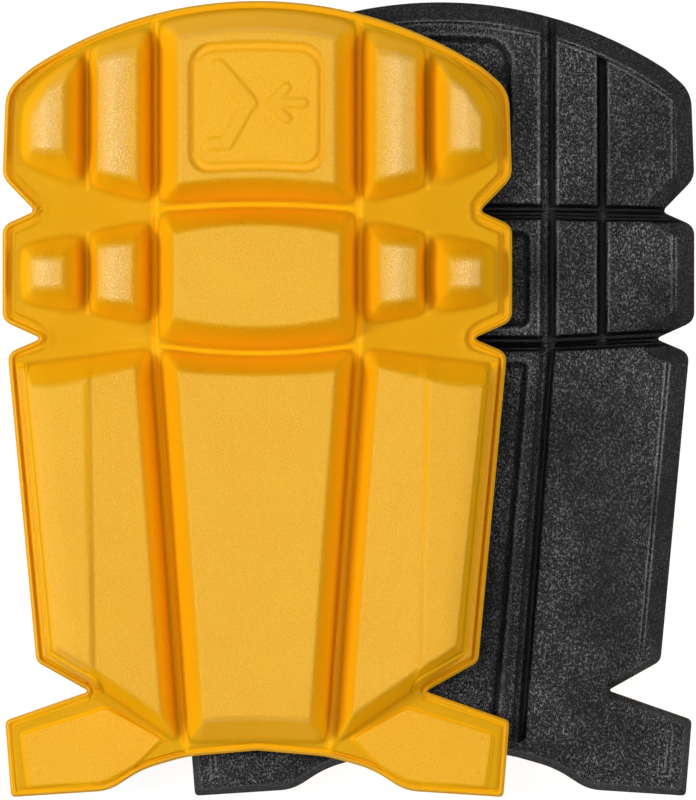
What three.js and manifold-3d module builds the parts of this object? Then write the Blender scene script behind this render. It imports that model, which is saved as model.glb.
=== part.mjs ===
// A pair of moulded foam knee pads of the kind that slips into the knee pockets of work trousers.
// Each pad is a yellow cushion, worn against the knee, laminated onto a denser black shell. Both
// layers are moulded into blocks that are parted by thin flex grooves, so a pad bends round a knee.
// The pair lies on a flat surface: the bottom pad has its cushion down, and the top pad lies on it
// back to back, one column to the left, with its cushion up. Millimetres, +Z up, thigh end at +Y.

import * as THREE from 'three';
import { ConvexGeometry } from 'three/addons/geometries/ConvexGeometry.js';
import { mergeVertices } from 'three/addons/utils/BufferGeometryUtils.js';
import Module from 'manifold-3d';

const wasm = await Module();
wasm.setup();

// ---- Driving dimensions. A pad's own frame has X across it, Y from shin to thigh, and Z from the
// ---- face of the shell (0) to the tops of the cushion's blocks.

const PAD_THICKNESS = 21; // shell face to the tops of the centre and outer blocks
const SHELL_THICKNESS = 5; // black layer
const SHELL_EDGE = 2.5; // depth of the shell's bevelled edge and of its channels
const WEB_TOP = 7; // floor of the grooves, where the pad bends
const INNER_BLOCK_TOP = 19.5; // the inner side blocks are a little lower than their neighbours
const WING_TOP = 8; // top of the raised panel on each wing
const GAP = 0.3; // clearance between pieces that touch
const SINK = 0.2; // how far a block reaches into the web that it stands on

const THIGH_FOLD_Y = 59.5; // groove between thigh row and knee row
const SHIN_FOLD_Y = 16.9; // groove between knee row and shin row
const WRAP_X = 32; // grooves between the centre column and the side columns
const SHIN_WRAP_X = 31.6; // the shin row's grooves start here and lean inwards
const SHIN_WRAP_END = [22.7, -111.8]; // where they meet the wing creases
const WING_CREASE_TOP = [53.6, -91.8]; // outer end of the wing crease, in the V notch
const FAR = 90; // beyond the outline on every side but the ends
const END = 130; // beyond the outline at both ends

const CROWN_RADIUS = 130; // rounded thigh end
const CROWN_TOP = 125;
const CROWN_HALF_WIDTH = 72; // where the crown arc turns into the corner
const CROWN_STEPS = 5;
const CORNER_STEPS = 3;

const PAD_OFFSET = 57.6; // how far apart the two pads' centre lines lie
const CUSHION_COLOUR = '#efb433';
const SHELL_COLOUR = '#2c2d30';

// Side and lower edge of the outline, right half, as [x, y, how far the corner is cut back].
const SIDE_CORNERS = [
  [79, 97, 5],
  [80, 69.5, 3],
  [69.8, 59, 2],
  [80, 54.5, 3],
  [80, 24.5, 3],
  [67.8, 19, 2],
  [78.4, 14.5, 3],
  [69.4, -82.5, 2],
  [52.8, -91.8, 1.5],
  [79.2, -101, 1.5],
  [77.3, -125, 1.5],
  [46.5, -123, 4],
  [36, -116.2, 5],
  [22, -112.2, 4],
  [0, -110.3, 0],
];

// Blocks of the right half, as foot outline on the web and top outline. Centre blocks are halves
// that are mirrored to the left.
const CENTRE_BLOCKS = {
  thigh: {
    foot: [[31.2, 60.3], [31.2, 117.8], [16, 121], [0, 122]],
    top: [[24.3, 67.5], [24.3, 112.5], [12, 114.6], [0, 115.1]],
  },
  knee: {
    foot: [[31.2, 17.7], [31.2, 58.7]],
    top: [[25.8, 25.5], [25.8, 51.5], [12, 53.8], [0, 54.4], [12, 23.2], [0, 22.6]],
  },
  shin: {
    foot: [[30.8, 16.1], [22.2, -108.2], [0, -107.5]],
    top: [[24.5, 8.3], [16.9, -99.8], [0, -99.3]],
  },
};

const SIDE_BLOCKS = {
  thigh: [
    {
      height: INNER_BLOCK_TOP,
      foot: [[33, 60.8], [53.6, 66], [53.6, 110.6], [33, 117.4]],
      top: [[37.2, 68.6], [46.5, 70.6], [46.5, 107], [37.2, 108.7]],
    },
    {
      height: PAD_THICKNESS,
      foot: [[55, 68], [77, 74.5], [77, 94], [70, 101], [55, 109.8]],
      top: [[60.9, 77.4], [69.7, 78.8], [69.7, 91], [60.9, 93.7]],
    },
  ],
  knee: [
    {
      height: INNER_BLOCK_TOP,
      foot: [[33, 22.9], [53.6, 25.8], [53.6, 52.3], [33, 57.3]],
      top: [[38.4, 30.7], [46.3, 30.7], [46.3, 48.9], [38.4, 48.9]],
    },
    {
      height: PAD_THICKNESS,
      foot: [[55, 28.4], [77, 31.8], [77, 49.2], [55, 52.2]],
      top: [[60.8, 36.2], [69.3, 36.2], [69.3, 44.8], [60.8, 44.8]],
    },
  ],
  shin: [
    {
      height: INNER_BLOCK_TOP,
      foot: [[32.8, 15.4], [54.5, 12.4], [56, -88.5], [51, -91.8], [24.6, -109.3]],
      top: [[37.6, 9.6], [53.2, 7], [53.2, -81.5], [31.4, -96.5]],
    },
    {
      height: PAD_THICKNESS,
      foot: [[50, 12.8], [74.6, 9.4], [67, -80.5], [52, -90.6]],
      top: [[53, 5.8], [66.5, 4.4], [60, -72], [53.4, -77]],
    },
  ],
};

const WING_BLOCK = {
  height: WING_TOP,
  foot: [[53.8, -96.8], [74.6, -104.2], [73, -120.6], [48, -118.9], [35, -110.2]],
  top: [[54, -98], [73.6, -105], [72.2, -119.6], [48.4, -118], [36.6, -110.2]],
};

// Flat faces of the shell, right half, as the outline that the bevel and the channels leave.
const SHELL_FACES = {
  thighCentre: [[30.5, 61.6], [30.5, 114.4], [16, 117.3], [0, 118]],
  kneeCentre: [[30.5, 19.4], [30.5, 56.4]],
  shinCentre: [[30, 14.6], [22, -101.5], [0, -100.6]],
  thighSide: [
    [[35.6, 62.8], [50, 65.5], [50, 107], [35.6, 112.4]],
    [[53.4, 66.4], [73, 72], [73, 92], [66, 98.6], [53.4, 105.6]],
  ],
  kneeSide: [
    [[35.6, 20.4], [50, 22.4], [50, 53.4], [35.6, 55.4]],
    [[53.4, 23.4], [73, 31], [73, 48.4], [53.4, 52.8]],
  ],
  shinSide: [[[35, 13], [71, 8], [62.6, -76.5], [51, -84], [27.6, -100]]],
  wing: [[[54, -99], [72.2, -105.4], [71, -118.4], [49.6, -117], [38, -109.8]]],
};
const SHELL_BEVEL = 2.2; // how much wider a shell block is at its foot, in plan

// ---- Regions: the share of the pad that belongs to each segment, parted by the flex grooves. The
// ---- side segments' edges are cut back outwards, so that rows can fold and wrap together.

const HALF_GAP = GAP / 2;
const THIGH_RELIEF = 0.2; // slopes of those cut edges
const KNEE_UPPER_RELIEF = 0.13;
const KNEE_LOWER_RELIEF = 0.19;
const SHIN_RELIEF = 0.15;

/** The y of a side segment's cut edge at the far side of its region. */
const reliefEnd = (y, slope) => y + slope * (FAR - WRAP_X);

const wrapLine = (side) => WRAP_X + side * HALF_GAP;
const shinWrapLine = (side) => [
  [SHIN_WRAP_X + side * HALF_GAP, SHIN_FOLD_Y - HALF_GAP],
  [SHIN_WRAP_END[0] + side * HALF_GAP, SHIN_WRAP_END[1]],
];
const creaseLine = (side) => [
  [WING_CREASE_TOP[0], WING_CREASE_TOP[1] + side * HALF_GAP],
  [SHIN_WRAP_END[0] + HALF_GAP, SHIN_WRAP_END[1] + side * HALF_GAP],
];

const CENTRE_REGIONS = {
  thigh: [[wrapLine(-1), THIGH_FOLD_Y + HALF_GAP], [wrapLine(-1), END]],
  knee: [[wrapLine(-1), SHIN_FOLD_Y + HALF_GAP], [wrapLine(-1), THIGH_FOLD_Y - HALF_GAP]],
  shin: [[SHIN_WRAP_END[0] - HALF_GAP, -END], ...shinWrapLine(-1).reverse()],
};

const SIDE_REGIONS = {
  thigh: [
    [wrapLine(1), THIGH_FOLD_Y + HALF_GAP],
    [FAR, reliefEnd(THIGH_FOLD_Y + HALF_GAP, THIGH_RELIEF)],
    [FAR, END],
    [wrapLine(1), END],
  ],
  knee: [
    [wrapLine(1), SHIN_FOLD_Y + HALF_GAP],
    [FAR, reliefEnd(SHIN_FOLD_Y + HALF_GAP, KNEE_LOWER_RELIEF)],
    [FAR, reliefEnd(THIGH_FOLD_Y - HALF_GAP, -KNEE_UPPER_RELIEF)],
    [wrapLine(1), THIGH_FOLD_Y - HALF_GAP],
  ],
  shin: [
    ...shinWrapLine(1).slice(0, 1),
    ...creaseLine(1).reverse(),
    [FAR, WING_CREASE_TOP[1] + HALF_GAP],
    [FAR, reliefEnd(SHIN_FOLD_Y - HALF_GAP, -SHIN_RELIEF)],
  ],
};

const WING_REGION = [
  ...creaseLine(-1).reverse(),
  [FAR, WING_CREASE_TOP[1] - HALF_GAP],
  [FAR, -END],
  [SHIN_WRAP_END[0] + HALF_GAP, -END],
];

// ---- Outlines

const flipped = (points) => points.map(([x, y, ...rest]) => [-x, y, ...rest]).reverse();
const mirrored = (points) => [...points, ...flipped(points).filter(([x]) => x !== 0)];
const sided = (points, side) => (side > 0 ? points : flipped(points));

/** A point on the way from one corner to another, a given distance along. */
function along(from, to, distance) {
  const start = new THREE.Vector2(from[0], from[1]);
  const step = new THREE.Vector2(to[0], to[1]).sub(start).setLength(distance);
  return start.add(step);
}

/** A closed outline through corners [x, y, cut], each cut back and bridged by a curve. */
function softOutline(corners) {
  const path = new THREE.Path();
  corners.forEach((corner, i) => {
    const [x, y, cut] = corner;
    const before = along(corner, corners.at(i - 1), cut);
    const after = along(corner, corners[(i + 1) % corners.length], cut);
    if (i === 0) {
      path.moveTo(before.x, before.y);
    } else {
      path.lineTo(before.x, before.y);
    }
    if (cut > 0) {
      path.quadraticCurveTo(x, y, after.x, after.y);
    }
  });
  return path.getPoints(CORNER_STEPS).map(({ x, y }) => [x, y]);
}

/** Right half of the crown, from the top centre to the corner, as corners that aren't cut. */
function crown() {
  const end = Math.asin(CROWN_HALF_WIDTH / CROWN_RADIUS);
  const centre = CROWN_TOP - CROWN_RADIUS;
  return Array.from({ length: CROWN_STEPS + 1 }, (_, i) => {
    const angle = (end * i) / CROWN_STEPS;
    return [CROWN_RADIUS * Math.sin(angle), centre + CROWN_RADIUS * Math.cos(angle), 0];
  });
}

// ---- Solids

/** A closed three.js geometry as a manifold solid. */
function solidOf(geometry) {
  geometry.deleteAttribute('normal');
  geometry.deleteAttribute('uv');
  const merged = mergeVertices(geometry);
  return new wasm.Manifold(
    new wasm.Mesh({
      numProp: 3,
      vertProperties: new Float32Array(merged.attributes.position.array),
      triVerts: new Uint32Array(merged.index.array),
    })
  );
}

/** An upright prism on an outline, between two heights. */
function prism(outline, low, high) {
  const shape = new THREE.Shape(outline.map(([x, y]) => new THREE.Vector2(x, y)));
  const geometry = new THREE.ExtrudeGeometry(shape, { depth: high - low, bevelEnabled: false });
  geometry.translate(0, 0, low);
  return solidOf(geometry);
}

/** A convex block that narrows from a foot outline at one height to a top outline at another. */
function block(foot, footZ, top, topZ) {
  const points = [
    ...foot.map(([x, y]) => new THREE.Vector3(x, y, footZ)),
    ...top.map(([x, y]) => new THREE.Vector3(x, y, topZ)),
  ];
  return solidOf(new ConvexGeometry(points));
}

/** An outline grown outwards from its middle by about a given distance. */
function grown(outline, distance) {
  const xs = outline.map(([x]) => x);
  const ys = outline.map(([, y]) => y);
  const [left, right] = [Math.min(...xs), Math.max(...xs)];
  const [low, high] = [Math.min(...ys), Math.max(...ys)];
  const stretch = (v, a, b) => v + distance * ((2 * (v - a)) / (b - a) - 1);
  return outline.map(([x, y]) => [stretch(x, left, right), stretch(y, low, high)]);
}

const half = [...crown(), ...SIDE_CORNERS];
const outline = softOutline([...half, ...flipped(half).slice(1, -1)]);

/** One cushion segment: its share of the web, with its blocks. */
function cushion(region, blocks) {
  const web = prism(outline, SHELL_THICKNESS + HALF_GAP, WEB_TOP);
  return blocks.reduce(
    (solid, { foot, top, height }) => solid.add(block(foot, WEB_TOP - SINK, top, height)),
    web.intersect(prism(region, 0, PAD_THICKNESS))
  );
}

/** One shell segment: its share of the backing, with a raised face for each of its blocks. */
function shell(region, faces) {
  const share = prism(region, -1, PAD_THICKNESS);
  const backing = prism(outline, SHELL_EDGE, SHELL_THICKNESS - HALF_GAP).intersect(share);
  return faces.reduce(
    (solid, face) =>
      solid.add(block(grown(face, SHELL_BEVEL), SHELL_EDGE + SINK, face, 0).intersect(share)),
    backing
  );
}

// ---- Pads

function part(name, solid, color, roughness) {
  const { vertProperties, triVerts } = solid.getMesh();
  const geometry = new THREE.BufferGeometry();
  geometry.setAttribute('position', new THREE.BufferAttribute(vertProperties, 3));
  geometry.setIndex(new THREE.BufferAttribute(triVerts, 1));
  geometry.computeVertexNormals();
  const material = new THREE.MeshStandardMaterial({ color, roughness, metalness: 0 });
  const mesh = new THREE.Mesh(geometry, material);
  mesh.name = name;
  return mesh;
}

/** Both layers of one segment. */
function segment(name, region, blocks, faces) {
  return [
    part(`${name}_cushion`, cushion(region, blocks), CUSHION_COLOUR, 0.6),
    part(`${name}_shell`, shell(region, faces), SHELL_COLOUR, 0.7),
  ];
}

function centreSegment(pad, row) {
  const { foot, top } = CENTRE_BLOCKS[row];
  const blocks = [{ foot: mirrored(foot), top: mirrored(top), height: PAD_THICKNESS }];
  const faces = [mirrored(SHELL_FACES[`${row}Centre`])];
  return segment(`${pad}_${row}_centre`, mirrored(CENTRE_REGIONS[row]), blocks, faces);
}

function sideSegment(pad, row, side, sideName) {
  const blocks = SIDE_BLOCKS[row].map(({ height, foot, top }) => ({
    height,
    foot: sided(foot, side),
    top: sided(top, side),
  }));
  const faces = SHELL_FACES[`${row}Side`].map((face) => sided(face, side));
  return segment(`${pad}_${row}_${sideName}`, sided(SIDE_REGIONS[row], side), blocks, faces);
}

function wing(pad, side, sideName) {
  const { height, foot, top } = WING_BLOCK;
  const blocks = [{ height, foot: sided(foot, side), top: sided(top, side) }];
  const faces = SHELL_FACES.wing.map((face) => sided(face, side));
  return segment(`${pad}_wing_${sideName}`, sided(WING_REGION, side), blocks, faces);
}

/** One pad in its own frame. Left and right are as seen from the cushion's side. */
function kneePad(name) {
  const pad = new THREE.Group();
  for (const row of ['thigh', 'knee', 'shin']) {
    pad.add(...centreSegment(name, row));
    pad.add(...sideSegment(name, row, -1, 'left'));
    pad.add(...sideSegment(name, row, 1, 'right'));
  }
  pad.add(...wing(name, -1, 'left'));
  pad.add(...wing(name, 1, 'right'));
  return pad;
}

const bottomPad = kneePad('bottom_pad');
bottomPad.rotation.y = Math.PI;
bottomPad.position.set(PAD_OFFSET / 2, 0, PAD_THICKNESS);

const topPad = kneePad('top_pad');
topPad.position.set(-PAD_OFFSET / 2, 0, PAD_THICKNESS + GAP);

const kneePads = new THREE.Group();
kneePads.name = 'knee_pads';
kneePads.add(bottomPad, topPad);

export default kneePads;
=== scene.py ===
"""A pair of moulded foam knee pads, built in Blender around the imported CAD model.

Each pad is a yellow cushion bonded to a black shell. Both layers are cut by flex grooves into
segments, and every segment of each layer is one mesh: a grid that follows the segment's outline,
lifted to the moulded relief, with a wall round it and a flat bonding face. Shapes are worked out in
the pad's own frame, in millimetres: x across, y from shin to thigh, z from the shell's face up to
the cushion's tops. Both pads and both halves share one set of shapes.
"""

import math

import bmesh
import bpy
import numpy as np
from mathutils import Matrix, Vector


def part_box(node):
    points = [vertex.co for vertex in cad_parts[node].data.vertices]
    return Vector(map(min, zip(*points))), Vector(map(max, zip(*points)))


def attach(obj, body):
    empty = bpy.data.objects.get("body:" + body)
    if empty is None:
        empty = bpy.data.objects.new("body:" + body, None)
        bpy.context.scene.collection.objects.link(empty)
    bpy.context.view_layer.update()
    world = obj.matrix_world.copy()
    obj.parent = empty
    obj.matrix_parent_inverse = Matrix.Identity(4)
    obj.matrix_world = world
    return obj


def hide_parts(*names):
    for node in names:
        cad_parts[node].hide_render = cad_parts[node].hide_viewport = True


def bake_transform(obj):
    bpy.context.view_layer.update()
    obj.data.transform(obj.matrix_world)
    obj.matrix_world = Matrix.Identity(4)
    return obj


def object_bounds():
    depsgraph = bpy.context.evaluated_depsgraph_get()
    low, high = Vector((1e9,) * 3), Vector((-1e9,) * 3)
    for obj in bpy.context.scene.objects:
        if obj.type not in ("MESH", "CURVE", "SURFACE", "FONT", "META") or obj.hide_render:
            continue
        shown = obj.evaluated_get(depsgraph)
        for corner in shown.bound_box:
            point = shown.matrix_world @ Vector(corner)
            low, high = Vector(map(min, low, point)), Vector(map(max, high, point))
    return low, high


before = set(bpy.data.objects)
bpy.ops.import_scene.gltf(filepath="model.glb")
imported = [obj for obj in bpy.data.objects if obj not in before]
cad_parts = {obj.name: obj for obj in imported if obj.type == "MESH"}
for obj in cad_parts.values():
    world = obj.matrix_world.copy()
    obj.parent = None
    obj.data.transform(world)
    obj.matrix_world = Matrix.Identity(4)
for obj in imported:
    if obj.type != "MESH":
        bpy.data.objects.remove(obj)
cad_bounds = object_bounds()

MM = 0.001

# ---- Driving dimensions, in the pad's own frame, in millimetres.

PAD_THICKNESS = 21.0
SHELL_THICKNESS = 5.0
WEB_TOP = 7.0  # floor of the cushion's grooves, where the pad bends
CHANNEL_FLOOR = 3.0  # depth of the shell's channels
BOND_GAP = 0.05  # half the gap between the two layers
MAIN_RISE = PAD_THICKNESS - WEB_TOP
INNER_RISE = MAIN_RISE - 1.5  # the inner side blocks are a little lower

THIGH_FOLD_Y = 59.5
SHIN_FOLD_Y = 16.9
WRAP_X = 32.0
SHIN_WRAP_X = 31.8
SIDE_GROOVE_X = 53.4  # groove between the two side blocks of a row

CROWN_RADIUS = 130.0  # rounded thigh end
CROWN_TOP = 125.0
CROWN_HALF_WIDTH = 72.0

EDGE_ROUND = 0.4  # how far the top of the free edge draws in
BLEND_LENGTH = 5.0  # how far from a living hinge the foam still bends
FOLD_ANGLE = math.radians(40)  # the range of the row folds

# Side and lower edge of the outline, right half: name, x, y, how far the corner is cut back.
OUTLINE_CORNERS = [
    ("thigh_corner", 79, 97, 5),
    ("thigh_notch_edge", 80, 69.5, 3),
    ("upper_notch", 69.8, 59, 2),
    ("knee_top_edge", 80, 54.5, 3),
    ("knee_low_edge", 80, 24.5, 3),
    ("lower_notch", 67.8, 19, 2),
    ("shin_top_edge", 78.4, 14.5, 3),
    ("shin_corner", 69.4, -82.5, 2),
    ("wing_notch", 52.8, -91.8, 1.5),
    ("wing_top_corner", 79.2, -101, 1.5),
    ("wing_low_corner", 77.3, -125, 1.5),
    ("wing_heel", 46.5, -123, 4),
    ("arch_shoulder", 36, -116.2, 5),
    ("arch_end", 22, -112.2, 4),
    ("arch_middle", 0, -110.3, 0),
]
CORNERS = {name: (x, y) for name, x, y, _ in OUTLINE_CORNERS}

# Blocks of the cushion, as foot outline on the web and crest outline at the top, both from the lower
# left corner round to the right. rise: MAIN_RISE if not given. bows: how far each edge bulges (foot,
# crest). roof: x of the top's ridge, and how fast it falls inwards and outwards. tilt: where the top
# starts to fall inwards, and how fast. dome: how far it falls at its outer edge, over what width.
CENTRE_BLOCKS = [
    {
        "foot": [(-31.4, 60.6), (31.4, 60.6), (31.4, 118.2), (-31.4, 118.2)],
        "crest": [(-24.3, 67.5), (24.3, 67.5), (24.3, 112.5), (-24.3, 112.5)],
        "bows": [(-1.4, -1.6), (0, 0), (4.4, 2.6), (0, 0)],
    },
    {
        "foot": [(-31.4, 17.9), (31.4, 17.9), (31.4, 58.6), (-31.4, 58.6)],
        "crest": [(-25.8, 25.5), (25.8, 25.5), (25.8, 51.5), (-25.8, 51.5)],
        "bows": [(2.7, 2.9), (0, 0), (1.6, 2.9), (0, 0)],
    },
    {
        "foot": [(-22.3, -108.6), (22.3, -108.6), (30.9, 16.2), (-30.9, 16.2)],
        "crest": [(-16.6, -100.2), (16.6, -100.2), (24.5, 8.6), (-24.5, 8.6)],
        "bows": [(-0.7, -0.9), (0, 0), (-2.6, -1.3), (0, 0)],
    },
]
SIDE_BLOCKS = [
    {
        "rise": INNER_RISE,
        "foot": [(32.7, 60.6), (52.9, 66), (52.9, 111), (32.7, 117.6)],
        "crest": [(37.2, 68.6), (50.0, 71.6), (50.0, 105.6), (37.2, 108.7)],
        "roof": (44.9, 0.15, 0.44),
    },
    {
        "rise": MAIN_RISE - 0.4,
        "foot": [(53.9, 65), (74.6, 73.6), (74.8, 93.3), (69, 101.4), (53.9, 110.2)],
        "crest": [(60.2, 77.6), (70.4, 78.2), (70.4, 88.0), (64.6, 96.5), (60.0, 99.5)],
        "roof": (66.0, 0.13, 0.48),
    },
    {
        "rise": INNER_RISE,
        "foot": [(33, 22.6), (52.9, 26.2), (52.9, 52.6), (33, 56.8)],
        "crest": [(38.4, 30.1), (50.0, 31.4), (50.0, 47.4), (38.4, 48.6)],
        "roof": (44.9, 0.15, 0.44),
    },
    {
        "rise": MAIN_RISE - 0.4,
        "foot": [(53.9, 25.8), (74.9, 29.8), (74.9, 48.6), (53.9, 53)],
        "crest": [(60.3, 34.8), (70.2, 35.2), (70.2, 43.6), (60.3, 43.9)],
        "roof": (66.4, 0.13, 0.48),
    },
    {
        "rise": INNER_RISE,
        "foot": [(24.4, -108.8), (56, -87.2), (56, 13.7), (33.2, 16.4)],
        "crest": [(30.2, -98.2), (53, -82.5), (53, 6.1), (38.2, 9.6)],
        "tilt": (53.0, 0.10),
    },
    {
        "foot": [(43.2, -95.9), (65.5, -80.4), (73.9, 11.5), (46.0, 14.8)],
        "crest": [(51.9, -83.6), (62.3, -77.0), (70.7, 3.6), (52.9, 6.0)],
        "bows": [(0, 0), (0, 0), (0, -0.8), (0, 0)],
        "dome": (1.7, 6.0),
    },
]

WING_PANEL = [
    (28.6, -106.5), (38.9, -116.4), (48.3, -121.1), (72.2, -122.4), (74.6, -104.7), (47.3, -96.2),
]
WING_PANEL_RISE = 1.2
WING_PANEL_SLOPE = 0.8
WING_PIPS = [(69.9, -106.5), (68.8, -116.7)]


# ---- Small maths on arrays


def smooth_min(a, b, width):
    """The lower of two values, rounded over a width."""
    share = np.clip(0.5 + 0.5 * (b - a) / width, 0, 1)
    return b + (a - b) * share - width * share * (1 - share)


def smooth_max(a, b, width):
    """The higher of two values, rounded over a width."""
    return -smooth_min(-a, -b, width)


def smooth_lowest(values, width):
    """The lowest of several values, rounded over a width."""
    lowest = values[0]
    for value in values[1:]:
        lowest = smooth_min(lowest, value, width)
    return lowest


def smooth_step(low, high, value):
    """0 up to low, 1 from high on, and a smooth rise between."""
    share = np.clip((value - low) / (high - low), 0, 1)
    return share * share * (3 - 2 * share)


def band(start, end, value):
    """1 between two smooth steps, each given as where it starts and where it ends."""
    return smooth_step(*start, value) * (1 - smooth_step(*end, value))


def ridge(distance, half_width):
    """1 on a line, falling smoothly to nothing either side of it."""
    return np.exp(-((distance / half_width) ** 2))


def left_of(start, end, x, y):
    """How far points lie to the left of a line, and how far along it they are, from 0 to 1."""
    dx, dy = end[0] - start[0], end[1] - start[1]
    length = math.hypot(dx, dy)
    left = (dx * (y - start[1]) - dy * (x - start[0])) / length
    along = (dx * (x - start[0]) + dy * (y - start[1])) / length**2
    return left, np.clip(along, 0, 1)


def from_segment(start, end, x, y):
    """Distance of points from a straight segment."""
    dx, dy = end[0] - start[0], end[1] - start[1]
    along = np.clip((dx * (x - start[0]) + dy * (y - start[1])) / (dx * dx + dy * dy), 0, 1)
    return np.hypot(x - start[0] - along * dx, y - start[1] - along * dy)


def nearest(segments, x, y):
    """Distance of points from the nearest of several straight segments."""
    return np.minimum.reduce([from_segment(start, end, x, y) for start, end in segments])


def rounded_box(x, y, half_width, low, high, radius):
    """Signed distance to an upright rounded rectangle, negative inside it."""
    over_x = np.abs(x) - half_width + radius
    over_y = np.abs(y - (low + high) / 2) - (high - low) / 2 + radius
    outside = np.hypot(np.maximum(over_x, 0), np.maximum(over_y, 0))
    return outside + np.minimum(np.maximum(over_x, over_y), 0) - radius


# ---- The outline, right half, from the middle of the crown down to the middle of the arch

CORNER_STEPS = 8
CROWN_STEP_ANGLE = 0.01
MIRROR = np.array((-1.0, 1.0))


def half_outline():
    """Points of the right half of the outline, and the index of each named point."""
    points, marks = [], {}
    seam_angle = math.asin(WRAP_X / CROWN_RADIUS)
    end_angle = math.asin(CROWN_HALF_WIDTH / CROWN_RADIUS)
    marks["crown_middle"] = 0
    for first, last in ((0, seam_angle), (seam_angle, end_angle)):
        count = math.ceil((last - first) / CROWN_STEP_ANGLE)
        for i in range(count):
            angle = first + (last - first) * i / count
            x = CROWN_RADIUS * math.sin(angle)
            y = CROWN_TOP - CROWN_RADIUS * (1 - math.cos(angle))
            points.append((x, y))
        marks.setdefault("crown_seam", len(points))
    corners = list(CORNERS.values())
    for i, (name, x, y, cut) in enumerate(OUTLINE_CORNERS):
        corner = np.array((x, y), float)
        if cut == 0:
            marks[name] = len(points)
            points.append((x, y))
            continue
        before = np.array(corners[i - 1] if i else points[-1], float)
        after = np.array(corners[i + 1], float)
        start = corner + (before - corner) * cut / np.linalg.norm(before - corner)
        end = corner + (after - corner) * cut / np.linalg.norm(after - corner)
        for step in range(CORNER_STEPS + 1):
            t = step / CORNER_STEPS
            if 2 * step == CORNER_STEPS:
                marks[name] = len(points)
            points.append(tuple((1 - t) ** 2 * start + 2 * t * (1 - t) * corner + t**2 * end))
    return np.array(points, float), marks


def outward_normals(points):
    """Unit normals that point out of the outline, which runs clockwise."""
    before = np.vstack([points[1] * MIRROR, points[:-1]])
    after = np.vstack([points[1:], points[-2] * MIRROR])
    into = points - before
    out = after - points
    into /= np.linalg.norm(into, axis=1, keepdims=True)
    out /= np.linalg.norm(out, axis=1, keepdims=True)
    tangent = into + out
    normals = np.column_stack([-tangent[:, 1], tangent[:, 0]])
    return normals / np.linalg.norm(normals, axis=1, keepdims=True)


HALF_OUTLINE, MARKS = half_outline()
HALF_NORMALS = outward_normals(HALF_OUTLINE)


def edge_distance(x, y):
    """Distance of points from the outline of the pad, for the right half."""
    distance = np.full(np.shape(x), np.inf)
    for start, end in zip(HALF_OUTLINE[:-1], HALF_OUTLINE[1:]):
        distance = np.minimum(distance, from_segment(start, end, x, y))
    return distance


def mark(name):
    """The point of the outline that has a name."""
    return tuple(HALF_OUTLINE[MARKS[name]])


# ---- The cushion's relief. A smooth step's ends are given as a pair, in mm from the rim.

SLOPE_BULGE = 0.20  # how far the blocks' slopes bulge

# How softly a block's slopes leave the web and meet its top, as shares of the slope, and how round
# its corners are at the foot.
BLOCK_ROUNDING = (0.09, 0.09, 0.80)
ROOF_ROUNDING = (0.18, 0.18, 1.30)
CREST_CORNER = 0.10  # how round every block's corners are at the crest
ROOF_ROUND = 0.8  # how round the ridge of a roof is
BLOCK_BLEND = 0.25  # how softly side blocks that touch run together

HIGHLIGHT_SHARE = 0.1  # how far the finish goes past 1 on the ridge of a roof, for more gloss and a painted highlight
HIGHLIGHT_SHIFT, HIGHLIGHT_HALF_WIDTH = 0.6, 4.2  # the glossy strip with its painted highlight lies a little inside the ridge

LIP_DROP = 0.9
RIM_CHANNEL_START = (1.2, 1.9)
RIM_CHANNEL_END = 2.5
RIM_CHANNEL_SLOPE = 0.6
RIM_CHANNEL_DEPTH = 1.45
EXTRA_WIDTH, EXTRA_DEPTH = 1.8, 0.2  # beside the small side blocks the channel is larger

BEAD_START, BEAD_END = (2.1, 2.7), (4.5, 5.1)  # a raised bead runs along the edge beside the shin
BEAD_RISE = 1.6

# The row grooves: y beside the centre column, how far they bow there, and their slope further out.
UPPER_ROW_GROOVE = (59.3, 1.8, -0.3 / 38)
LOWER_ROW_GROOVE = (16.8, -2.3, 2.2 / 36)
WRAP_GROOVES = [((WRAP_X, SHIN_FOLD_Y), (WRAP_X, 119)), ((SHIN_WRAP_X, SHIN_FOLD_Y), (22.4, -110))]
SIDE_GROOVES = [((SIDE_GROOVE_X, 27), (SIDE_GROOVE_X, 52)), ((SIDE_GROOVE_X, 66), (SIDE_GROOVE_X, 109))]
WING_GROOVE = ((51, -92.4), (24.4, -109.8))

CREASE_DEPTH = 0.5
CREASE_HALF_WIDTH = 0.45
SIDE_ROW_CREASE = 0.35  # depth of the row creases in the side columns, as a share
ROW_DIP, ROW_DIP_HALF_WIDTH = 0.8, 4.5  # the web dips along the row grooves of the side columns

# The step between the two blocks beside the shin.
STEP_LINE = ((53.2, 4.5), (52.2, -70))
STEP_DROP = 0.4
STEP_SHADE = 0.16

# The frame on the thigh block: half width, low end, high end, corner radius.
LABEL_OUTER = (21.4, 71.2, 112.0, 7)
LABEL_INNER = (18.6, 74.6, 108.6, 5)
LABEL_BOW = 1.6  # it bows downwards by this much at LABEL_HALF_SPAN from the middle
LABEL_HALF_SPAN = 24
LABEL_SHADE = 0.08

# A bent knee and an arrow, raised inside the frame: two ends and half the width of each stroke.
PICTOGRAM_RISE = 0.9
PICTOGRAM = [
    ((-12.0, 103.5), (-2.5, 92.5), 2.5),
    ((-2.5, 92.5), (-9.5, 80.0), 2.1),
    ((-9.5, 79.8), (-14.0, 79.8), 1.8),
    ((5.0, 92.5), (14.5, 92.5), 1.4),
    ((4.4, 92.5), (9.2, 97.3), 1.4),
    ((4.4, 92.5), (9.2, 87.7), 1.4),
]

# Painted shade along the wrap, row and side grooves and the rim channel: share and half width.
GROOVE_SHADE_LINES = [(1.0, 1.3), (0.8, 0.8), (0.6, 0.9), (0.6, 0.5)]
TINT_SHADE = 0.4


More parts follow.
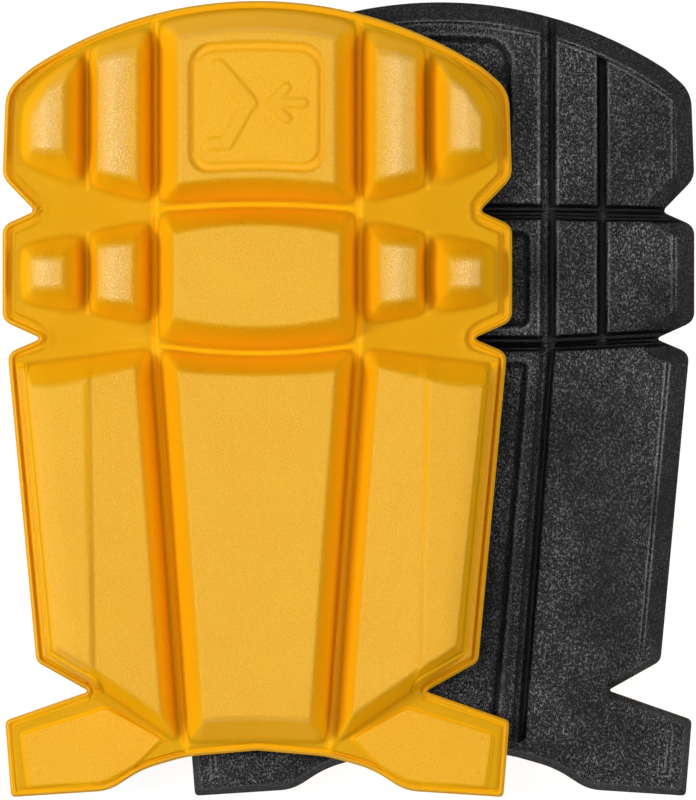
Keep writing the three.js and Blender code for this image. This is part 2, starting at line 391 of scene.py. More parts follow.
def block_rise(block, x, y):
    """How far a block stands over the web, and its finish: how near its top a point is, from 0 to
    1, and up to 1.1 on the ridge of a small block, which is glossier there and carries a painted highlight."""
    foot, crest = block["foot"], block["crest"]
    bows = block.get("bows", [(0, 0)] * len(foot))
    edges = []
    for i, (foot_bow, crest_bow) in enumerate(bows):
        j = (i + 1) % len(foot)
        from_foot, along_foot = left_of(foot[i], foot[j], x, y)
        from_crest, along_crest = left_of(crest[i], crest[j], x, y)
        from_foot = from_foot + foot_bow * 4 * along_foot * (1 - along_foot)
        from_crest = from_crest + crest_bow * 4 * along_crest * (1 - along_crest)
        edge = from_foot / np.maximum(from_foot - from_crest, 1.0)
        inside = np.clip(edge, 0, 1)
        edges.append(edge + SLOPE_BULGE * inside * (1 - inside))
    foot_round, crest_round, foot_corner = ROOF_ROUNDING if "roof" in block else BLOCK_ROUNDING
    lowest = np.clip(np.minimum.reduce(edges), 0, 1)
    share = smooth_lowest(edges, foot_corner + (CREST_CORNER - foot_corner) * lowest)
    share = smooth_min(smooth_max(share, 0, foot_round), 1, crest_round)
    rise = np.full(np.shape(x), block.get("rise", MAIN_RISE))
    worn = 0.0
    if "roof" in block:
        ridge_x, inner_fall, outer_fall = block["roof"]
        rise = rise - smooth_max(inner_fall * (ridge_x - x), outer_fall * (x - ridge_x), ROOF_ROUND)
        worn = HIGHLIGHT_SHARE * ridge(x - ridge_x + HIGHLIGHT_SHIFT, HIGHLIGHT_HALF_WIDTH)
    if "tilt" in block:
        high_x, fall = block["tilt"]
        rise = rise - fall * np.clip(high_x - x, 0, None)
    if "dome" in block:
        fall, width = block["dome"]
        inward = left_of(crest[1], crest[2], x, y)[0]
        rise = rise - fall * np.clip(1 - inward / width, 0, 1) ** 2
    return rise * share, share * (1 + worn)


def row_crease(x, y):
    """Distance from the nearer groove between rows. They bow towards the ends of the pad."""
    bow = np.clip(1 - (x / WRAP_X) ** 2, 0, None)
    past = np.clip(x - WRAP_X, 0, None)
    grooves = (UPPER_ROW_GROOVE, LOWER_ROW_GROOVE)
    return np.minimum.reduce([np.abs(y - (at + bulge * bow + slope * past)) for at, bulge, slope in grooves])


def label_relief(x, y):
    """The sunken frame on the thigh block, with the pictogram raised inside it. Also says how far
    inside the frame a point is, from 0 to 1."""
    level = y + LABEL_BOW * (x / LABEL_HALF_SPAN) ** 2
    outer = rounded_box(x, level, *LABEL_OUTER)
    inner = rounded_box(x, level, *LABEL_INNER)
    channel = smooth_step(0, 0.8, -outer) * smooth_step(-0.2, 0.9, inner)
    strokes = np.minimum.reduce(
        [from_segment(start, end, x, y) - half_width for start, end, half_width in PICTOGRAM]
    )
    raised = PICTOGRAM_RISE * smooth_step(-0.4, 0.4, -strokes)
    sunk = 0.8 * smooth_step(-0.5, 0.3, -inner)
    relief = 0.25 * ridge(outer - 0.5, 0.4) - 1.7 * channel - sunk + raised
    return relief, smooth_step(-0.6, 0.4, -outer)


def web_height(side, y, rim, grooves, bead, in_centre):
    """Height of the web between the blocks, with the lip, channel and bead along its edge."""
    beside = smooth_step(60, 70, side) * smooth_step(12, 17, y)
    channel_end = RIM_CHANNEL_END + EXTRA_WIDTH * beside
    channel = band(RIM_CHANNEL_START, (channel_end - RIM_CHANNEL_SLOPE, channel_end), rim)
    web = WEB_TOP - (RIM_CHANNEL_DEPTH + EXTRA_DEPTH * beside) * channel
    web = web - LIP_DROP * (1 - smooth_step(0.3, 1.0, rim))
    web = web + BEAD_RISE * bead
    creases = [ridge(distance, CREASE_HALF_WIDTH) for distance in grooves]
    creases[0] = creases[0] * (SIDE_ROW_CREASE + (1 - SIDE_ROW_CREASE) * in_centre)
    creases.append(0.7 * ridge(from_segment(*WING_GROOVE, side, y), 0.8))
    web = web - CREASE_DEPTH * np.maximum.reduce(creases) * smooth_step(1.5, 3, rim)
    dip = ridge(grooves[0], ROW_DIP_HALF_WIDTH) * smooth_step(WRAP_X + 2, WRAP_X + 12, side)
    return web - ROW_DIP * dip * smooth_step(2.5, 6, rim)


def blocks_rise(x, y):
    """How far the blocks stand over the web, and their finish, with its painted highlights and painted
    shade.
    """
    side = np.abs(x)
    rise = np.zeros_like(side)
    finish_and_painted_light = np.zeros_like(side)
    for block in CENTRE_BLOCKS:
        height, share = block_rise(block, x, y)
        rise = np.maximum(rise, height)
        finish_and_painted_light = np.maximum(finish_and_painted_light, share)
    for block in SIDE_BLOCKS:
        height, share = block_rise(block, side, y)
        rise = smooth_max(rise, height, BLOCK_BLEND)
        finish_and_painted_light = np.maximum(finish_and_painted_light, share)
    step = ridge(from_segment(*STEP_LINE, side, y), 0.8) * smooth_step(-72, -20, y)
    return rise - STEP_DROP * step, finish_and_painted_light - STEP_SHADE * step


def wing_panel(side, y):
    """How far the raised panel of the wing has risen, from 0 to 1, and its pips."""
    corners = zip(WING_PANEL, WING_PANEL[1:] + WING_PANEL[:1])
    edges = [left_of(start, end, side, y)[0] / WING_PANEL_SLOPE for start, end in corners]
    panel = smooth_min(smooth_max(smooth_lowest(edges, 1.5), 0, 0.3), 1, 0.3)
    pips = [ridge(np.hypot(side - px, y - py), 0.6) for px, py in WING_PIPS]
    return panel, np.maximum.reduce(pips)


def cushion_relief(x, y):
    """Height of the cushion's surface, and its finish: below 0 in the grooves and 0 on the web, where
    painted shade lies, 1 on the tops, and up to 1.1 where the ridges of the small blocks are glossier and
    carry a painted highlight."""
    side = np.abs(x)
    rim = edge_distance(side, y)
    rows, between = row_crease(side, y), nearest(SIDE_GROOVES, side, y)
    wrap = nearest(WRAP_GROOVES, side, y)
    in_centre = 1 - smooth_step(WRAP_X - 2, WRAP_X + 3, side)
    at_shin_edge = smooth_step(46, 50, side) * band((-93, -90), (9, 12), y)
    bead = at_shin_edge * band(BEAD_START, BEAD_END, rim)
    web = web_height(side, y, rim, (rows, wrap, between), bead, in_centre)
    rise, finish_and_painted_light = blocks_rise(x, y)
    panel, pips = wing_panel(side, y)
    rise = np.maximum(rise, WING_PANEL_RISE * panel + 0.35 * pips)

    on_block = (y > 66) & (y < 115) & (side < LABEL_HALF_SPAN)
    label, in_label = label_relief(x, y)
    lip = 1 - smooth_step(1.0, 1.6, rim)
    finish_and_painted_light = np.maximum.reduce([finish_and_painted_light, 0.93 * bead, 0.93 * panel, 0.96 * lip])
    finish_and_painted_light = finish_and_painted_light - LABEL_SHADE * in_label * on_block
    # Painted shade along the grooves and the rim channel.
    lines = (wrap, rows, between, rim - RIM_CHANNEL_START[1])
    groove_shades = [share * ridge(line, width) for line, (share, width) in zip(lines, GROOVE_SHADE_LINES)]
    groove_shades[1] = groove_shades[1] * in_centre
    on_web = 1 - np.clip(5 * finish_and_painted_light, 0, 1)
    finish_and_painted_light = finish_and_painted_light - TINT_SHADE * np.maximum.reduce(groove_shades) * on_web
    # Painted shade in the valley between the bead and the block beside it.
    finish_and_painted_light = finish_and_painted_light - 0.5 * at_shin_edge * ridge(rim - BEAD_END[1] - 0.5, 0.9)
    return np.minimum(web + rise + label * on_block, PAD_THICKNESS), finish_and_painted_light


# ---- The shell's relief, as depth from its face

CHANNEL_HALF_WIDTH = 2.9
CHANNEL_SLOPE = 1.3
CHANNEL_RIB = 1.3  # height of the rib along a channel's floor
WRAP_STEP = 1.3  # the inner half of the wrap channel is this much shallower
UPPER_CHANNEL = (-0.7, -0.02)  # distance from the fold, and slope beyond the centre column
LOWER_CHANNEL = (0.4, 0.05)
WRAP_CHANNEL_X = 33.9
WRAP_CHANNEL_END = (24.2, -108)
SIDE_CHANNEL_X = 50.9
SIDE_CHANNEL_HALF_WIDTH = 1.9
SIDE_CHANNEL_SLOPE = 1.1
SIDE_CHANNEL_AT_RIM = (6.4, 7.4)

BEVEL_WIDTH = 6.4
BEVEL_WIDTH_CUT = 3.9  # the bevel is this much narrower at the shin end
BEVEL_DEPTH = 2.6

# Sunken panels of the centre column: half width, low end, high end, corner radius.
THIGH_INSET = (22.0, 66.5, 114.0, 7)
KNEE_INSET = (27.8, 22.8, 52.6, 3)
SHIN_INSET_SIDE = ((17.6, -101), (27.4, 12))
SHIN_INSET_LOW, SHIN_INSET_HIGH = -100.5, 11.4

# Plain raised bars, where a maker would put its markings.
MARKING_RISE = 0.45
MARKINGS = [
    ((8, 46), (23, 46)), ((8, 40), (23, 40)), ((8, 30), (23, 30)), ((6, -9), (22, -9)),
    ((6, -20), (21, -20)), ((6, -80), (15.5, -80)), ((5, -88), (15, -88)), ((5, -95), (14.5, -95)),
]

DOUBLE_LINE = (5.8, 7.2)  # two raised lines, this far inside the edge
LINE_RISE = 0.45
DIMPLES = [((66, -114.6), 0.8), ((29.3, 62.8), 0.6)]
LIFT = 0.25  # the face lies this deep, so that raised lines stay inside the shell


def channel_depth(distance, inner_step=0.0):
    """A flex channel with a small rib along its floor. The inner half can be shallower."""
    wall = smooth_step(CHANNEL_HALF_WIDTH - CHANNEL_SLOPE, CHANNEL_HALF_WIDTH, np.abs(distance))
    depth = CHANNEL_FLOOR * (1 - wall) - inner_step * (1 - smooth_step(-0.6, 0.2, distance))
    return np.maximum(depth, 0) - (CHANNEL_RIB - 0.4 * inner_step) * ridge(distance + 0.4, 0.7)


def side_channel_depth(side, y, rim):
    """The plain channel between the two blocks of a side row."""
    wall = (SIDE_CHANNEL_HALF_WIDTH - SIDE_CHANNEL_SLOPE, SIDE_CHANNEL_HALF_WIDTH)
    depth = CHANNEL_FLOOR * (1 - smooth_step(*wall, np.abs(side - SIDE_CHANNEL_X)))
    return depth * smooth_step(SHIN_FOLD_Y, SHIN_FOLD_Y + 1, y) * smooth_step(*SIDE_CHANNEL_AT_RIM, rim)


def wrap_channel_distance(side, y):
    """Signed distance from the channel beside the centre column, positive outside it."""
    at_shin = -left_of(WRAP_CHANNEL_END, (WRAP_CHANNEL_X, SHIN_FOLD_Y), side, y)[0]
    return np.where(y > SHIN_FOLD_Y, side - WRAP_CHANNEL_X, at_shin)


def inset_distance(side, y):
    """Signed distance to the sunken panels of the centre column, negative inside them."""
    thigh = rounded_box(side, y + LABEL_BOW * (side / LABEL_HALF_SPAN) ** 2, *THIGH_INSET)
    knee = rounded_box(side, y, *KNEE_INSET)
    beside = -left_of(*SHIN_INSET_SIDE, side, y)[0]
    shin = smooth_max(beside, y - SHIN_INSET_HIGH, 2.0)
    shin = smooth_max(shin, SHIN_INSET_LOW - y, 2.0)
    return np.minimum.reduce([thigh, knee, shin])


def line_distance(side, y, rim):
    """How far inside the edge a point is, with the notches of the sides left out."""
    shin_edge = left_of(CORNERS["shin_corner"], CORNERS["shin_top_edge"], side, y)[0]
    beside = np.where(y > SHIN_FOLD_Y, CORNERS["knee_top_edge"][0] - side, shin_edge)
    below_crown = CROWN_RADIUS - np.hypot(side, y - CROWN_TOP + CROWN_RADIUS)
    upper = np.minimum(beside, np.where(y > THIGH_FOLD_Y, below_crown, beside))
    return np.where(y < -90, rim, upper)


def shell_relief(x, y):
    """Depth of the shell's surface below its face, and its finish: how much moulded grain it has, with
    painted glints on it, from 0 to 1, and up to 2 where a painted highlight lies along raised lines, channel
    shoulders and panel edges."""
    side = np.abs(x)
    rim = edge_distance(side, y)
    bevel_width = BEVEL_WIDTH - BEVEL_WIDTH_CUT * (1 - smooth_step(-84, -70, y))
    bevel = BEVEL_DEPTH * np.clip(1 - rim / bevel_width, 0, 1) ** 0.9
    from_wrap = wrap_channel_distance(side, y)
    in_wrap = smooth_step(-109, -105, y)
    past = np.clip(side - WRAP_X, 0, None)
    rows = [
        channel_depth(y - fold - offset - slope * past)
        for fold, (offset, slope) in ((THIGH_FOLD_Y, UPPER_CHANNEL), (SHIN_FOLD_Y, LOWER_CHANNEL))
    ]
    wrap = channel_depth(from_wrap, WRAP_STEP) * in_wrap
    channels = np.maximum.reduce([wrap, *rows, side_channel_depth(side, y, rim)])

    inset = inset_distance(side, y)
    groove = ridge(inset + 0.7, 0.75)
    panel = 0.6 * smooth_step(-0.4, 0.4, -inset) + 1.0 * groove - 0.3 * ridge(inset - 1.4, 0.6)
    markings = MARKING_RISE * (1 - smooth_step(0.7, 1.3, nearest(MARKINGS, side, y)))
    wing_line = 0.35 * ridge(y + 117, 0.45) * band((38, 42), (68, 71), side)
    dimples = 0.9 * np.maximum.reduce(
        [ridge(np.hypot(side - px, y - py), half_width) for (px, py), half_width in DIMPLES]
    )
    depth = np.maximum(bevel, channels)
    face = 1 - smooth_step(0.2, 1.0, depth)
    depth = depth + face * (panel - markings + wing_line + dimples)

    inward = line_distance(side, y, rim)
    double_line = sum(ridge(inward - line, 0.35) for line in DOUBLE_LINE)
    at_wings = smooth_step(68, 71, side) * (1 - smooth_step(-106, -100, y))
    lined = np.clip(smooth_step(-82, -76, y) + at_wings, 0, 1)
    side_bead = ridge(side - 54.2, 0.5) * (y > SHIN_FOLD_Y) * face
    raised = LINE_RISE * double_line * lined * face + 0.4 * side_bead

    on_rib = 0.8 * ridge(from_wrap + 0.6, 0.9) * in_wrap
    grain_and_painted_light = 1 - smooth_step(0.3, 1.2, channels) - 0.75 * smooth_step(0.25, 0.8, bevel)
    grain_and_painted_light = np.clip(np.maximum(grain_and_painted_light, on_rib) - groove * face, 0, 1)
    grain_and_painted_light = grain_and_painted_light * (1 - 0.7 * lined * ridge(inward - sum(DOUBLE_LINE) / 2, 1.2))
    # Fewer painted glints in a band beside the shin, which makes that band darker.
    fewer_glints = ridge(side - 54, 9) * band((-95, -70), (-25, 5), y)
    grain_and_painted_light = grain_and_painted_light * (1 - 0.45 * fewer_glints)

    wrap_shoulder = ridge(np.abs(from_wrap) - CHANNEL_HALF_WIDTH - 0.1, 0.35) * in_wrap
    side_shoulder = ridge(np.abs(side - SIDE_CHANNEL_X) - SIDE_CHANNEL_HALF_WIDTH - 0.1, 0.3)
    side_shoulder = side_shoulder * smooth_step(*SIDE_CHANNEL_AT_RIM, rim)
    shoulder = np.maximum(wrap_shoulder, side_shoulder) * smooth_step(5, 7, rim)
    shoulder = shoulder * (1 - smooth_step(0.8, 1.5, np.maximum(*rows))) * (y > SHIN_FOLD_Y)
    inset_edge = ridge(inset - 0.9, 0.5) * face
    # Painted highlight along the raised lines, the channels' shoulders and the panels' edges.
    worn = np.maximum.reduce([double_line * lined * face, 0.8 * shoulder, 0.5 * inset_edge])
    grain_and_painted_light = grain_and_painted_light + (2 - grain_and_painted_light) * np.clip(worn, 0, 1) * 0.9
    return np.maximum(depth - raised + LIFT, 0), grain_and_painted_light


# ---- Patches: the grid of each segment, between four boundary curves


def seam(start, end):
    """A straight boundary between two segments: its points, and no outward direction."""
    return np.array([start, end], float), np.zeros((2, 2))


def outline(first, last):
    """The stretch of the outline between two named points, with its outward directions."""
    i, j = MARKS[first], MARKS[last]
    step = 1 if j > i else -1
    stop = j + step if j + step >= 0 else None
    return HALF_OUTLINE[i:stop:step], HALF_NORMALS[i:stop:step]


def symmetric(curve):
    """A boundary curve of the right half, with its mirror image before it."""
    return tuple(np.vstack([(rows * MIRROR)[::-1], rows[1:]]) for rows in curve)


def spaced(curve, count):
    """A boundary curve as count + 1 evenly spaced points."""
    points, normals = curve
    lengths = np.hypot(*np.diff(points, axis=0).T)
    travelled = np.concatenate([[0], np.cumsum(lengths)])
    stops = np.linspace(0, travelled[-1], count + 1)
    place = [np.interp(stops, travelled, points[:, k]) for k in (0, 1)]
    out = [np.interp(stops, travelled, normals[:, k]) for k in (0, 1)]
    return np.column_stack(place + out)


def side_curve(*stretches):
    """Several stretches as one boundary, each evenly spaced. A seam's end on the rim keeps the
    rim's outward direction, so that both neighbours round their edges alike."""
    rows = [spaced(curve, count) for curve, count in stretches]
    for before, after in zip(rows[:-1], rows[1:]):
        if not before[-1, 2:].any():
            before[-1, 2:] = after[0, 2:]
    return np.vstack([rows[0], *[row[1:] for row in rows[1:]]])


def coons(bottom, right, top, left):
    """A grid of points filled in between four boundary curves that share their corners."""
    u = np.linspace(0, 1, len(bottom))[None, :, None]
    v = np.linspace(0, 1, len(left))[:, None, None]
    low = (1 - u) * (1 - v) * bottom[0] + u * (1 - v) * bottom[-1]
    corners = low + (1 - u) * v * top[0] + u * v * top[-1]
    across = (1 - v) * bottom[None] + v * top[None]
    upward = (1 - u) * left[:, None] + u * right[:, None]
    return across + upward - corners


GRID = 0.55  # spacing of the grids


def grid_steps(length):
    """Into how many cells a length is divided."""
    return max(4, round(length / GRID))


UPPER_NOTCH, LOWER_NOTCH = mark("upper_notch"), mark("lower_notch")
WING_NOTCH, ARCH_END, CROWN_SEAM = mark("wing_notch"), mark("arch_end"), mark("crown_seam")
UPPER_CROSS = (WRAP_X, THIGH_FOLD_Y)
LOWER_CROSS = (SHIN_WRAP_X, SHIN_FOLD_Y)

# How many cells lie along each boundary. Bare lengths are the boundary's own, roughly.
CENTRE_COUNT = 2 * grid_steps(WRAP_X)
COLUMN_COUNT = grid_steps(UPPER_NOTCH[0] - WRAP_X)
NOTCH_COUNT = grid_steps(13)
CREASE_COUNT = grid_steps(37)
WING_EDGE_COUNT = grid_steps(28)
THIGH_COUNT = grid_steps(CROWN_SEAM[1] - THIGH_FOLD_Y)
KNEE_COUNT = grid_steps(THIGH_FOLD_Y - SHIN_FOLD_Y)
SHIN_COUNT = grid_steps(SHIN_FOLD_Y - ARCH_END[1])
WING_COUNT = grid_steps(24)


def wrap_seams():
    """Boundaries between the centre column and a side column: thigh, knee and shin."""
    return (
        side_curve((seam(UPPER_CROSS, CROWN_SEAM), THIGH_COUNT)),
        side_curve((seam(LOWER_CROSS, UPPER_CROSS), KNEE_COUNT)),
        side_curve((seam(ARCH_END, LOWER_CROSS), SHIN_COUNT)),
    )


def centre_patches():
    """Boundaries of the three centre segments: bottom, right, top, left."""
    upper = side_curve((seam(MIRROR * UPPER_CROSS, UPPER_CROSS), CENTRE_COUNT))
    lower = side_curve((seam(MIRROR * LOWER_CROSS, LOWER_CROSS), CENTRE_COUNT))
    crown_edge = side_curve((symmetric(outline("crown_middle", "crown_seam")), CENTRE_COUNT))
    arch_edge = side_curve((symmetric(outline("arch_middle", "arch_end")), CENTRE_COUNT))
    thigh, knee, shin = wrap_seams()
    thigh[-1, 2:] = crown_edge[-1, 2:]
    shin[0, 2:] = arch_edge[-1, 2:]
    to_left = np.array((-1, 1, -1, 1))
    return {
        "thigh": (upper, thigh, crown_edge, thigh * to_left),
        "knee": (lower, knee, upper, knee * to_left),
        "shin": (arch_edge, shin, lower, shin * to_left),
    }


def side_patches():
    """Boundaries of the side segments and the wing, right half."""
    upper = (seam(UPPER_CROSS, UPPER_NOTCH), COLUMN_COUNT)
    lower = (seam(LOWER_CROSS, LOWER_NOTCH), COLUMN_COUNT)
    crease = (seam(ARCH_END, WING_NOTCH), CREASE_COUNT)
    thigh, knee, shin = wrap_seams()
    below_notch = CREASE_COUNT + WING_EDGE_COUNT - COLUMN_COUNT
    patches = {
        "thigh": (
            side_curve(upper, (outline("upper_notch", "thigh_notch_edge"), NOTCH_COUNT)),
            side_curve((outline("thigh_notch_edge", "thigh_corner"), THIGH_COUNT)),
            side_curve((outline("crown_seam", "thigh_corner"), COLUMN_COUNT + NOTCH_COUNT)),
            thigh,
        ),
        "knee": (
            side_curve(lower, (outline("lower_notch", "knee_low_edge"), NOTCH_COUNT)),
            side_curve((outline("knee_low_edge", "knee_top_edge"), KNEE_COUNT)),
            side_curve(upper, (outline("upper_notch", "knee_top_edge"), NOTCH_COUNT)),
            knee,
        ),
        "shin": (
            side_curve(crease, (outline("wing_notch", "shin_corner"), WING_EDGE_COUNT)),
            side_curve((outline("shin_corner", "shin_top_edge"), SHIN_COUNT)),
            side_curve(lower, (outline("lower_notch", "shin_top_edge"), below_notch)),
            shin,
        ),
        "wing": (
            side_curve(
                (outline("arch_end", "wing_heel"), CREASE_COUNT),
                (outline("wing_heel", "wing_low_corner"), WING_EDGE_COUNT),
            ),
            side_curve((outline("wing_low_corner", "wing_top_corner"), WING_COUNT)),
            side_curve(crease, (outline("wing_notch", "wing_top_corner"), WING_EDGE_COUNT)),
            np.repeat(side_curve(crease)[:1], WING_COUNT + 1, axis=0),
        ),
    }
    patches["thigh"][3][-1, 2:] = patches["thigh"][2][0, 2:]
    arch_end_normal = patches["wing"][0][0, 2:]
    for curve in (patches["shin"][0], patches["shin"][3], patches["wing"][2]):
        curve[0, 2:] = arch_end_normal
    patches["wing"][3][:, 2:] = arch_end_normal
    return patches


# ---- Meshes

# Walls, from the relief down to the bonding face: height, and how far the wall of a row groove
# leans towards its neighbour. It leans by the angle of the fold, about the top of the web.
LEAN = math.tan(FOLD_ANGLE)
CUSHION_WALL_TOP = 6.1
CUSHION_WALL = [
    (CUSHION_WALL_TOP, LEAN * (WEB_TOP - CUSHION_WALL_TOP)),
    (SHELL_THICKNESS + BOND_GAP, LEAN * (WEB_TOP - SHELL_THICKNESS - BOND_GAP)),
]
HINGE_RADIUS = WEB_TOP - CHANNEL_FLOOR
SHELL_WALL = [
    (WEB_TOP - HINGE_RADIUS * math.cos(FOLD_ANGLE / 2), HINGE_RADIUS * math.sin(FOLD_ANGLE / 2)),
    (WEB_TOP - HINGE_RADIUS * math.cos(FOLD_ANGLE), HINGE_RADIUS * math.sin(FOLD_ANGLE)),
    (SHELL_THICKNESS - BOND_GAP, LEAN * (WEB_TOP - SHELL_THICKNESS + BOND_GAP)),
]
LEAN_FADE = 4.0  # a leaning wall stands upright again this near the notches
LEAN_REACH = 8.0  # how far along the wrap groove a leaning wall is felt
LEAN_CLEARANCE = 0.06
ON_LINE = 0.01  # a point this near a line is on it
SHARP_ANGLE = 0.2  # an edge of the rim that turns more is shaded sharp

# Each layer's relief, its wall, and how far the top of its free edge draws in.
SURFACES = {
    "cushion": (cushion_relief, CUSHION_WALL, EDGE_ROUND),
    "shell": (shell_relief, SHELL_WALL, 0.0),
}


def boundary_loop(width, height):
    """Indices of a grid's boundary vertices, counter-clockwise."""
    grid = np.arange(width * height).reshape(height, width)
    return np.concatenate([grid[0], grid[1:, -1], grid[-1, -2::-1], grid[-2:0:-1, 0]])


def grid_faces(width, height):
    """The quads of a grid, as indices of its vertices."""
    grid = np.arange(width * height).reshape(height, width)
    corners = [grid[:-1, :-1], grid[:-1, 1:], grid[1:, 1:], grid[1:, :-1]]
    return np.stack(corners, axis=-1).reshape(-1, 4)


def row_lean(points, row):
    """Which way the wall of a side segment's row groove leans at each point. Next to the crossing
    the wrap groove's wall makes room for it."""
    x, y = points[:, 0], points[:, 1]
    lean = np.zeros(points.shape)
    for crossing, notch, way in ((UPPER_CROSS, UPPER_NOTCH, 1), (LOWER_CROSS, LOWER_NOTCH, -1)):
        on_groove = from_segment(crossing, notch, x, y) < ON_LINE
        lean[:, 1] += way * on_groove * smooth_step(0, LEAN_FADE, notch[0] - x)
    if row == "knee":
        return lean
    if row == "thigh":
        crossing, end, way = UPPER_CROSS, CROWN_SEAM, 1
    else:
        crossing, end, way = LOWER_CROSS, ARCH_END, -1
    on_wrap = from_segment(crossing, end, x, y) < ON_LINE
    reach = way * np.clip(1 - np.abs(y - crossing[1]) / LEAN_REACH, 0, 1)
    lean[on_wrap, 1] = reach[on_wrap]
    lean[on_wrap, 0] = reach[on_wrap] * (end[0] - crossing[0]) / (end[1] - crossing[1])
    return lean


def segment_arrays(patch, layer, row, leaning):
    """One segment of one layer in the pad's frame: its vertices, the quads of its relief and wall,
    its bonding face, the finish at each vertex, and the loop of vertices round its relief."""
    relief, wall, edge_round = SURFACES[layer]
    grid = coons(*patch)
    height, width = grid.shape[:2]
    flat = grid.reshape(-1, 4)
    loop = boundary_loop(width, height)
    edge = flat[loop, :2]
    tops = flat[:, :2] - edge_round * flat[:, 2:]
    level, finish_and_painted_light = relief(tops[:, 0], tops[:, 1])
    vertices = [np.column_stack([tops, level])]
    lean = row_lean(edge, row) if leaning else np.zeros(edge.shape)
    clearance = 0 if row == "knee" else LEAN_CLEARANCE
    for z, offset in wall:
        ring = edge + lean * (offset + clearance)
        vertices.append(np.column_stack([ring, np.full(len(loop), z)]))
    first = width * height
    rings = [loop] + [first + k * len(loop) + np.arange(len(loop)) for k in range(len(wall))]
    faces = [grid_faces(width, height)]
    for upper, lower in zip(rings[:-1], rings[1:]):
        faces.append(np.column_stack([upper, lower, np.roll(lower, -1), np.roll(upper, -1)]))
    finish_and_painted_light = np.concatenate([finish_and_painted_light, np.zeros(len(loop) * len(wall))])
    return np.vstack(vertices), np.vstack(faces), rings[-1][::-1], finish_and_painted_light, loop


def make_mesh(name, arrays, flip, to_world):
    """A Blender mesh of one segment. flip turns its faces over."""
    vertices, quads, cap, finish_and_painted_light, loop = arrays
    if flip:
        quads = quads[:, ::-1]
        cap = cap[::-1]
    corners = np.concatenate([quads.ravel(), cap])
    counts = np.concatenate([np.full(len(quads), 4), [len(cap)]])
    mesh = bpy.data.meshes.new(name)
    mesh.vertices.add(len(vertices))
    mesh.vertices.foreach_set("co", to_world(vertices).ravel())
    mesh.loops.add(len(corners))
    mesh.loops.foreach_set("vertex_index", corners.astype(np.int32))
    mesh.polygons.add(len(counts))
    mesh.polygons.foreach_set("loop_start", np.concatenate([[0], np.cumsum(counts)[:-1]]))
    mesh.update(calc_edges=True)
    place = mesh.attributes.new("pad_mm", "FLOAT_VECTOR", "POINT")
    place.data.foreach_set("vector", vertices.astype(np.float32).ravel())
    # The finish also places painted shade and painted highlights on the foam, besides setting its gloss and
    # grain.
    shine = mesh.attributes.new("finish_and_painted_light", "FLOAT", "POINT")
    shine.data.foreach_set("value", finish_and_painted_light.astype(np.float32))
    welded = bmesh.new()
    welded.from_mesh(mesh)
    on_loop = set(loop.tolist())
    for edge in welded.edges:
        along_rim = all(vertex.index in on_loop for vertex in edge.verts)
        edge.smooth = not (along_rim and edge.is_manifold and edge.calc_face_angle(0) > SHARP_ANGLE)
    for face in welded.faces:
        face.smooth = len(face.verts) < 5
    bmesh.ops.remove_doubles(welded, verts=welded.verts, dist=1e-7)
    welded.to_mesh(mesh)
    welded.free()
    mesh.update()
    return mesh


# ---- Materials. Colours are linear: a pair of them is mixed by a soft mottle. The other pairs are
# ranges of the finish or of a noise over which something changes.

TOP_COLOURS = ((0.87, 0.405, 0.004), (0.89, 0.440, 0.006))
# Painted shade: the web is painted darker than the tops, and the grooves a saturated orange.
SHADED_WEB_COLOURS = ((0.68, 0.340, 0.005), (0.72, 0.368, 0.007))
SHADED_GROOVE_COLOUR = (1.00, 0.47, 0.004)
# Painted light: the slopes are painted a little lighter than the tops.
LIGHTENED_SLOPE_COLOUR = (0.94, 0.448, 0.004)
# Painted sparkle highlights: pale flecks on the grain of the tops.
SPARKLE_HIGHLIGHT_COLOUR = (0.96, 0.64, 0.07)
# Painted highlight on the ridges of the small blocks.
HIGHLIGHT_COLOUR = (1.0, 0.81, 0.34)
CUSHION_BUMP = 0.00034

IN_GROOVE = (-0.35, -0.05)
ON_SLOPE = (0.02, 0.25)
NEAR_TOP = (0.86, 0.97)
PAST_TOP = (1.0, 1.08)
HIGHLIGHT_RANGE = (1.01, 1.09)
MIDDLE = (0.3, 0.7)  # most of a noise's range

SHELL_COLOUR = (0.0012, 0.0011, 0.0012)
# Painted glints: the bright flecks of the grain.
GLINT_COLOURS = ((0.120, 0.117, 0.120), (0.360, 0.355, 0.360))
PEAKS = (0.54, 0.66)
SHELL_SPECULAR = 0.24
SHELL_BUMP = 0.0010


def node(tree, kind, settings=None, **values):
    """A new node, with its settings and the values of its unlinked inputs."""
    made = tree.nodes.new(kind)
    for key, value in (settings or {}).items():
        setattr(made, key, value)
    for key, value in values.items():
        made.inputs[key.replace("_", " ")].default_value = value
    return made


def noise(tree, place, scale, detail, stretch=None):
    """Noise over the pad, with its scale in waves per millimetre."""
    made = node(tree, "ShaderNodeTexNoise", Scale=scale, Detail=detail, Roughness=0.55)
    if stretch is not None:
        mapping = node(tree, "ShaderNodeMapping", Scale=stretch)
        tree.links.new(place, mapping.inputs["Vector"])
        place = mapping.outputs["Vector"]
    tree.links.new(place, made.inputs["Vector"])
    return made.outputs["Fac"]


def ramp(tree, source, low, high, from_value=0.0, to_value=1.0):
    """Maps a range of a value onto another, clamped."""
    ends = {"From_Min": low, "From_Max": high, "To_Min": from_value, "To_Max": to_value}
    made = node(tree, "ShaderNodeMapRange", **ends)
    tree.links.new(source, made.inputs["Value"])
    return made.outputs["Result"]


def mixed(tree, share, a, b):
    """A colour between two, each a colour or another node's output."""
    made = node(tree, "ShaderNodeMix", {"data_type": "RGBA"})
    tree.links.new(share, made.inputs["Factor"])
    for key, value in (("A", a), ("B", b)):
        socket = next(s for s in made.inputs if s.name == key and s.type == "RGBA")
        if isinstance(value, tuple):
            socket.default_value = (*value, 1)
        else:
            tree.links.new(value, socket)
    return next(s for s in made.outputs if s.type == "RGBA")


